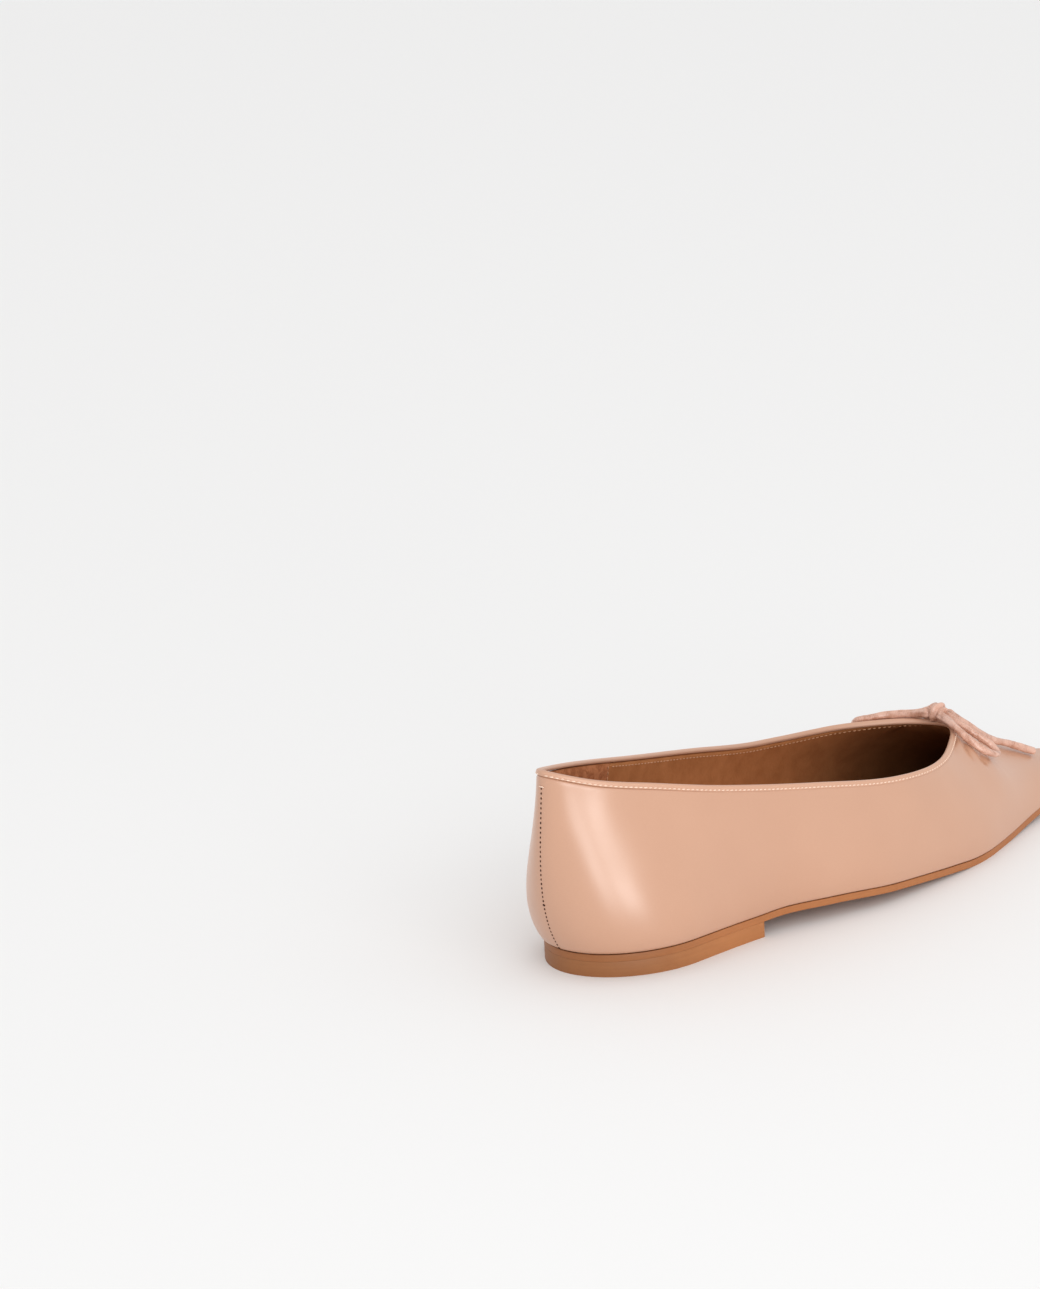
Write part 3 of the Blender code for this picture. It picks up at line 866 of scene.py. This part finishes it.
def makeKnot(materials):
    # The wrap of the knot: an oval whose skin is drawn into folds round its waist
    bpy.ops.object.select_all(action="DESELECT")
    bpy.ops.mesh.primitive_uv_sphere_add(segments=64, ring_count=40, radius=0.5, calc_uvs=True)
    wrap = bpy.context.object
    wrap.name = "bowKnot"
    wrap.data.name = "bowKnot"
    co = np.empty(len(wrap.data.vertices) * 3)
    wrap.data.vertices.foreach_get("co", co)
    co = co.reshape(-1, 3) * 2
    across = co[:, 1]
    turn = np.arctan2(co[:, 2], co[:, 0])
    wave = np.cos(across * 9.0 + 1.6 * np.sin(turn))
    fold = knot["foldDepth"] * wave * np.clip(1 - across**2, 0, 1)
    pinch = 1
    for at, depth, half in knot["pinches"]:
        pinch = pinch - depth * np.exp(-(((across - at) / half) ** 2))
    square = np.maximum(np.abs(co), 1e-9)
    boxy = (square ** knot["boxiness"]).sum(1) ** (-1 / knot["boxiness"])
    co *= (boxy * pinch * (1 + fold))[:, None]
    size = np.array(knot["size"]) * mm / 2
    place = np.array(knot["place"]) * mm + soleBack
    wrap.data.vertices.foreach_set("co", (co * size + place).ravel())
    for corner in wrap.data.uv_layers[0].data:
        corner.uv = (corner.uv[0] * 18 * mm, corner.uv[1] * 9 * mm)
    weld(wrap)
    return dress(wrap, "satin", materials["tube"], replaces=("bow_knot",), smoothAngle=60)


def makeBow(materials):
    wrap = makeKnot(materials)
    for name, route in bow["routes"].items():
        node, farEnd, length = bow["cords"][name]
        fullness = bow["fullness"][name]
        tube, line = satinTube("bow" + name[0].upper() + name[1:], route, farEnd == "bare", fullness)
        dress(tube, "satin", materials["tube"], replaces=(node,), smoothAngle=60)
    print("bow made")


# Upper

upper = {
    "collarRibs": 160,
    "vampRibs": 80,
    "rings": 70,
    "margin": 6.0 * mm,
    "underBinding": 1.6 * mm,
    "throatEase": 0.05,
    "easeSteps": 160,
    "gatherFloor": 12 * mm,
    "softFold": 1.2 * mm,
    # gathers and dips round the throat: from and to in millimetres from the sole's
    # back edge, half width and height of the fold in millimetres
    "gathers": (
        ((168.6, -12.4), (160.5, -19.5), 0.8, -0.55),
        ((170.0, -12.6), (164.4, -20.4), 0.8, 0.55),
        ((171.0, -12.8), (167.8, -21.0), 0.8, -1.10),
        ((171.8, -13.0), (171.6, -21.6), 0.8, 0.85),
        ((172.6, -13.0), (174.0, -21.0), 0.8, -1.20),
        ((173.0, -20.2), (173.4, -21.8), 1.1, -0.90),
        ((174.0, -12.0), (178.5, -22.0), 0.9, 0.35),
        ((176.0, -10.0), (185.0, -20.0), 1.3, -0.30),
        ((171.5, 15.5), (170.5, 23.5), 1.0, -0.50),
        ((173.5, 14.5), (176.0, 23.0), 1.0, 0.40),
        ((175.5, 12.5), (183.0, 20.0), 1.3, -0.34),
    ),
}


def gatherHeight(points):
    height = np.zeros(points.shape[:2])
    flat = points[..., :2] / mm
    for start, end, width, rise in upper["gathers"]:
        start = np.array(start)
        reach = np.array(end) - start
        length = np.linalg.norm(reach)
        part = ((flat - start) @ reach) / length**2
        near = start + np.clip(part, 0, 1)[..., None] * reach
        away = np.linalg.norm(flat - near, axis=-1)
        fade = np.clip(1.15 - np.clip(part, 0, 1), 0, 1)
        height += rise * mm * np.exp(-((away / width) ** 2)) * fade
    return height * (points[..., 2] > upper["gatherFloor"])


def outerFace(around, inset, shares):
    return aroundShoe(*(ribPoints(around, side, inset, shares) for side in (-1, 1)))


def easeThroat(points, around, shares):
    # Spreads the fold between the collar's ribs and the vamp's over both, away from the edges
    near = np.exp(-(((around - last["throatShare"]) / upper["throatEase"]) ** 2))
    near = np.concatenate([near, near[-2::-1]])[1:-1, None, None]
    inner = np.clip(np.minimum(shares / 0.10, (1 - shares) / 0.12), 0, 1)[None, :, None]
    for _ in range(upper["easeSteps"]):
        middle = (points[:-2] + points[2:]) / 2 - points[1:-1]
        points[1:-1] += 0.8 * near * inner * middle
    return points


def turnedMargin(around):
    rows = []
    for share in (1.0, 0.5):
        sides = []
        for side in (-1, 1):
            foot, out = featherLine(around, side)
            inside = foot - out * upper["margin"] * share
            inside[:, 2] = soleBottom(inside[:, 0]) + last["outsoleThickness"] + last["gap"]
            sides.append(inside)
        rows.append(aroundShoe(*sides))
    return np.stack(rows, 1)


def makeUpper(materials):
    around = placesAround(upper["collarRibs"], upper["vampRibs"])
    even = np.linspace(0, 1, upper["rings"])
    wallPoints = easeThroat(outerFace(around, upper["underBinding"], even), around, even)
    wallPoints = wallPoints + outwards(wallPoints) * gatherHeight(wallPoints)[..., None]
    points = np.concatenate([turnedMargin(around), wallPoints], 1)
    cloth = shapedGrid("upperCloth", points)
    cloth.data.materials.append(materials["satin"])
    cloth.data.materials.append(materials["lining"])
    thicken(cloth, last["wall"], -1, innerMaterial=1, rimMaterial=1)
    softenFeather(cloth)
    dress(cloth, "satin", materials["satin"], materials["lining"], replaces=("upper",), smoothAngle=70)
    print("upper made:", len(cloth.data.polygons), "faces")


def softenFeather(cloth):
    # Round the fold where the cloth turns under the foot
    chooseOnly(cloth)
    floorOfFold = last["outsoleThickness"] + last["gap"]
    for vertex in cloth.data.vertices:
        x = vertex.co.x - soleBack[0]
        above = vertex.co.z - float(soleBottom(np.array([x]))[0]) - floorOfFold
        vertex.select = above < upper["softFold"]
    bpy.ops.object.mode_set(mode="EDIT")
    bpy.ops.mesh.select_mode(type="VERT")
    bpy.ops.mesh.vertices_smooth(factor=0.5, repeat=2)
    bpy.ops.object.mode_set(mode="OBJECT")


# Collar binding and its stitches

binding = {
    "ribs": 200,
    # cross section: inward from the wall's outer face and down from the edge, millimetres
    "profile": (
        (0.30, 2.10), (-0.02, 2.06), (-0.09, 1.92), (-0.11, 1.72), (-0.06, 1.55), (-0.16, 1.36),
        (-0.19, 0.95), (-0.12, 0.50), (0.10, 0.16), (0.55, 0.00), (1.15, 0.00), (1.60, 0.16),
        (1.84, 0.50), (1.90, 0.85), (1.80, 1.30), (1.10, 1.42),
    ),
    "stitchPitch": 1.7 * mm,
    "stitchLength": 1.2 * mm,
    "stitchWidth": 0.42 * mm,
    "stitchDown": 1.55 * mm,
    "innerStitchDown": 2.8 * mm,
    # the band is slimmer at the back, and full from this place round the shoe
    "slimAtBack": 0.82,
    "fullFrom": 0.28,
    "innerHalf": 1.0 * mm,
}


def collarFrame(around, side):
    edge, _, offEdge = ribEnds(around, side, 0.0)
    ahead = unit(np.gradient(edge, axis=0))
    inward = unit(np.cross(offEdge, ahead)) * -side
    return edge, offEdge, inward, ahead


def bandFullness(around):
    part = np.clip(around / binding["fullFrom"], 0, 1)[:, None]
    return binding["slimAtBack"] + (1 - binding["slimAtBack"]) * part**2 * (3 - 2 * part)


def makeBinding(materials):
    around = placesAround(binding["ribs"])
    profile = np.array(binding["profile"]) * mm
    profile = np.concatenate([profile, profile[:1]])
    # only the outer half grows slimmer, so that the inner half still meets the wall
    full = np.where(profile[None, :, 0] < binding["innerHalf"], bandFullness(around), 1)[..., None]
    sides = []
    for side in (-1, 1):
        edge, offEdge, inward, _ = collarFrame(around, side)
        inward[0] = (1, 0, 0)
        inward[-1] = unit(inward[-1] * (1, 0, 1))
        ring = (
            edge[:, None, :]
            + inward[:, None, :] * profile[None, :, 0:1]
            - offEdge[:, None, :] * profile[None, :, 1:2] * full
        )
        sides.append(ring)
    band = shapedGrid("collarBinding", aroundShoe(*sides))
    closeOutwards(band)
    applyModifier(band, "SUBSURF", levels=1, render_levels=1)
    dress(band, "satin", materials["binding"], replaces=("collar_binding",), smoothAngle=80)
    print("binding made:", len(band.data.polygons), "faces")


def stitchPlaces(side, inward, down, pitch, first, final=0.8):
    around = np.linspace(first, final, 800)
    edge, offEdge, inwards, ahead = collarFrame(around, side)
    line = edge + inwards * inward - offEdge * down * bandFullness(around)
    run = np.concatenate([[0], np.cumsum(np.linalg.norm(np.diff(line, axis=0), axis=1))])
    at = np.arange(pitch / 2, run[-1], pitch)

    def atStitches(part):
        return np.stack([np.interp(at, run, part[:, k]) for k in range(3)], 1)

    return [atStitches(part) for part in (line, ahead, inwards, offEdge)]


def makeCollarStitches(materials):
    pitch = binding["stitchPitch"]
    # the inner row starts where the heel grip ends
    for name, inward, down, first, material in (
        ("outerStitches", -0.12 * mm, binding["stitchDown"], 0.004, "paleThread"),
        ("innerStitches", 1.84 * mm, binding["innerStitchDown"], heelGrip["reach"] + 0.004, "tanThread"),
    ):
        parts = [stitchPlaces(side, inward, down, pitch, first) for side in (-1, 1)]
        line, ahead, inwards, offEdge = (np.concatenate(group) for group in zip(*parts))
        out = inwards if inward > 0 else -inwards
        slanted = ahead + offEdge * 0.12
        count = len(line)
        sizes = np.tile([binding["stitchLength"], binding["stitchWidth"], binding["stitchWidth"]], (count, 1))
        sizes *= rng.uniform(0.9, 1.1, (count, 1))
        stitches = scatter(name, unitStitch(), line, slanted, out, sizes)
        dress(stitches, "satin", materials[material], smoothAngle=80)
        print(name, count)


# Back seam

backSeam = {
    "stitches": 38,
    "stitchLength": 0.82 * mm,
    "stitchWidth": 0.50 * mm,
    "topShare": 0.935,
    "tackShare": 0.945,
    "tackSize": (2.4 * mm, 0.45 * mm, 0.5 * mm),
}


def makeBackSeam(materials):
    shares = np.linspace(0.02, backSeam["topShare"], backSeam["stitches"])
    around = np.array([0.0, 0.002])
    line = ribPoints(around, -1, upper["underBinding"], shares)[0]
    along = unit(np.gradient(line, axis=0))
    out = unit(np.cross(along, (0.0, 1.0, 0.0)))
    out *= np.sign(-out[:, :1])
    count = len(line)
    sizes = np.tile([backSeam["stitchLength"], backSeam["stitchWidth"], 0.3 * mm], (count, 1))
    sizes[:, 1] *= rng.uniform(0.75, 1.25, count)
    # one wider hole, about a third of the way up
    sizes[int(0.33 * count), 1] *= 2.2
    # Near-black marks down the seam are painted shade standing in for its needle holes
    dark = scatter("backSeamHoleShade", unitStitch(), line + out * 0.03 * mm, along, out, sizes)
    dress(dark, "satin", materials["paintedHoleShade"], smoothAngle=80)
    # a bar tack just below the binding
    place = ribPoints(around, -1, upper["underBinding"], np.array([backSeam["tackShare"]]))[0]
    tack = scatter(
        "backTack",
        unitStitch(),
        place + np.array([[-0.15 * mm, 0, 0]]),
        np.array([[0.0, 1.0, 0.0]]),
        np.array([[-1.0, 0.0, 0.0]]),
        np.array([backSeam["tackSize"]]),
    )
    dress(tack, "satin", materials["paleThread"], smoothAngle=80)
    print("back seam made")


# Heel grip inside the back

heelGrip = {
    "reach": 0.222,
    "thickness": 0.5 * mm,
    "lowShare": 0.16,
    "highShare": 0.998,
    "columns": 60,
    "rows": 40,
    "stitchCount": 20,
    "stitchBack": 0.006,
    "stitchSize": (1.3 * mm, 0.4 * mm, 0.4 * mm),
}


def makeHeelGrip(materials):
    around = np.linspace(0, heelGrip["reach"], heelGrip["columns"])
    shares = np.linspace(heelGrip["lowShare"], heelGrip["highShare"], heelGrip["rows"])
    sides = [ribPoints(around, side, upper["underBinding"], shares) for side in (-1, 1)]
    # from the front edge on the outer side round the back to the inner side
    face = np.concatenate([sides[0][::-1], sides[1][1:]], 0)
    out = outwards(face)
    out *= np.where((out * (face - face.mean((0, 1)))).sum(-1, keepdims=True) < 0, -1, 1)
    columns, rows = face.shape[:2]
    column = np.minimum(np.arange(columns), columns - 1 - np.arange(columns))[:, None] / 2.0
    row = np.minimum(np.arange(rows), rows - 1 - np.arange(rows))[None, :] / 2.0
    skive = np.clip(np.minimum(column, row), 0, 1)
    depth = last["wall"] - 0.1 * mm + (heelGrip["thickness"] + 0.1 * mm) * skive
    grip = shapedGrid("heelGrip", face - out * depth[..., None])
    thicken(grip, 0.25 * mm, -1)
    dress(grip, "lining", materials["suede"], smoothAngle=60)
    # a row of stitches down each front edge
    front = np.array([heelGrip["reach"] - heelGrip["stitchBack"], heelGrip["reach"]])
    at = np.linspace(heelGrip["lowShare"] + 0.03, 0.97, heelGrip["stitchCount"])
    centres, ways, ups = [], [], []
    for side in (-1, 1):
        edge = ribPoints(front, side, upper["underBinding"], at)
        down = unit(np.gradient(edge[0], axis=0))
        inward = unit(np.cross(down, edge[1] - edge[0])) * -side
        centres.append(edge[0] + inward * (last["wall"] + heelGrip["thickness"]))
        ways.append(down)
        ups.append(inward)
    size = np.tile(heelGrip["stitchSize"], (2 * len(at), 1))
    row = scatter("gripStitches", unitStitch(), *map(np.concatenate, (centres, ways, ups)), size)
    dress(row, "lining", materials["tanThread"], smoothAngle=80)
    print("heel grip made")


# Sole pieces

soleLook = {
    "columns": 170,
    "rows": 16,
    "edgeRound": 0.35 * mm,
    "sockThickness": 1.8 * mm,
    "sockToeGap": 9 * mm,
    "heelColumns": 56,
}


def soleSheet(name, x, inset, toeGap, lift):
    share = np.linspace(-1, 1, soleLook["rows"])
    outer = -soleHalfWidth(x, -1, inset, toeGap)
    inner = soleHalfWidth(x, 1, inset, toeGap)
    y = (outer + inner)[:, None] / 2 + (inner - outer)[:, None] / 2 * share[None, :]
    xGrid = np.broadcast_to(x[:, None], y.shape)
    return shapedGrid(name, np.stack([xGrid, y, soleBottom(xGrid) + lift], -1))


def makeOutsole(materials):
    x = closerAtEnds(last["soleLength"], soleLook["columns"])
    sole = soleSheet("leatherOutsole", x, 0.0, 0.0, 0.0)
    thicken(sole, last["outsoleThickness"], 1)
    roundEdges(sole, soleLook["edgeRound"])
    dress(sole, "sole_leather", materials["soleLeather"], replaces=("outsole",), smoothAngle=50)


def makeSock(materials):
    inset = last["wall"] + 2 * last["gap"]
    x = inset + closerAtEnds(last["soleLength"] - 2 * inset - soleLook["sockToeGap"], soleLook["columns"])
    lift = last["outsoleThickness"] + last["wall"] + 2 * last["gap"]
    sock = soleSheet("insoleSock", x, inset, soleLook["sockToeGap"], lift)
    thicken(sock, soleLook["sockThickness"], 1)
    roundEdges(sock, soleLook["edgeRound"])
    dress(sock, "lining", materials["sock"], replaces=("insole",), smoothAngle=50)


def makeHeel(materials):
    x = last["heelLength"] * (1 - np.cos(np.linspace(0, math.pi / 2, soleLook["heelColumns"])))
    heel = soleSheet("heelBlock", x, 0.0, 0.0, -0.05 * mm)
    editAll(heel)
    bpy.ops.mesh.extrude_region_move(TRANSFORM_OT_translate={"value": (0, 0, -1 * mm)})
    bpy.ops.transform.resize(value=(1, 1, 0), center_override=(0, 0, 0))
    bpy.ops.object.mode_set(mode="OBJECT")
    closeOutwards(heel)
    roundEdges(heel, soleLook["edgeRound"])
    dress(heel, "sole_leather", materials["heelLeather"], replaces=("heel",), smoothAngle=50)
    print("sole, sock and heel made")


def makeMaterials():
    weave = makeClothWeave()
    grain = makeHideGrain()
    paleSatin = tuple(min(1, part * 1.06) for part in satin["pale"])
    edgeLook = {"pores": 900.0, "relief": 0.2, "coat": 0.1, "gloss": 0.3}
    return {
        "satin": makeSatin("blushSatin", weave, satin["pale"], satin["deep"], satin["roughness"]),
        "binding": makeSatin("bindingSatin", weave, paleSatin, satin["pale"], (0.4, 0.5)),
        # In the bow's tubes and knot the pale crests and deep copper hollows of the small folds are painted
        # highlight and painted shade
        "tube": makeSatin(
            "bowSatin", weave, (0.68, 0.40, 0.30), (0.42, 0.18, 0.105), (0.24, 0.42), 0.8, 340.0, (0.34, 0.56)
        ),
        # painted shade: the lining's colour deepens towards the toe, deep inside the shoe
        "lining": makeLeather(
            "liningLeather", grain, (0.40, 0.155, 0.055), (0.50, 0.205, 0.078), (0.65, 0.8),
            gloss=0.1, along=(0.014, 0.082, 0.29),
        ),
        # painted shade: the sock's colour deepens towards the toe, under the vamp
        "sock": makeLeather(
            "sockLeather", grain, (0.44, 0.175, 0.065), (0.52, 0.220, 0.088), (0.55, 0.7),
            gloss=0.15, along=(-0.01, 0.065, 0.25),
        ),
        "suede": makeSuede("gripSuede", (0.34, 0.115, 0.045), (0.50, 0.195, 0.085)),
        "soleLeather": makeLeather(
            "soleLeather", grain, (0.37, 0.135, 0.044), (0.42, 0.16, 0.054), (0.42, 0.6),
            fibres=2400.0, along=(-0.065, -0.108, 0.72), **edgeLook,
        ),
        "heelLeather": makeLeather(
            "heelLeather", grain, (0.38, 0.145, 0.048), (0.43, 0.17, 0.058), (0.42, 0.6),
            fibres=1600.0, along=(-0.065, -0.108, 0.66), **edgeLook,
        ),
        "paleThread": makeThread("paleThread", (0.90, 0.67, 0.53)),
        "tanThread": makeThread("tanThread", (0.66, 0.36, 0.20)),
        # painted shade for the back seam's needle holes
        "paintedHoleShade": makeThread("paintedHoleShade", (0.06, 0.018, 0.009), 0.8),
    }


bpy.ops.object.select_all(action="DESELECT")
makeCamera()
makeLights()
makeFloor()
materials = makeMaterials()
print("stage and materials made")
makeBow(materials)
makeUpper(materials)
makeBinding(materials)
makeCollarStitches(materials)
makeBackSeam(materials)
makeHeelGrip(materials)
makeOutsole(materials)
makeSock(materials)
makeHeel(materials)
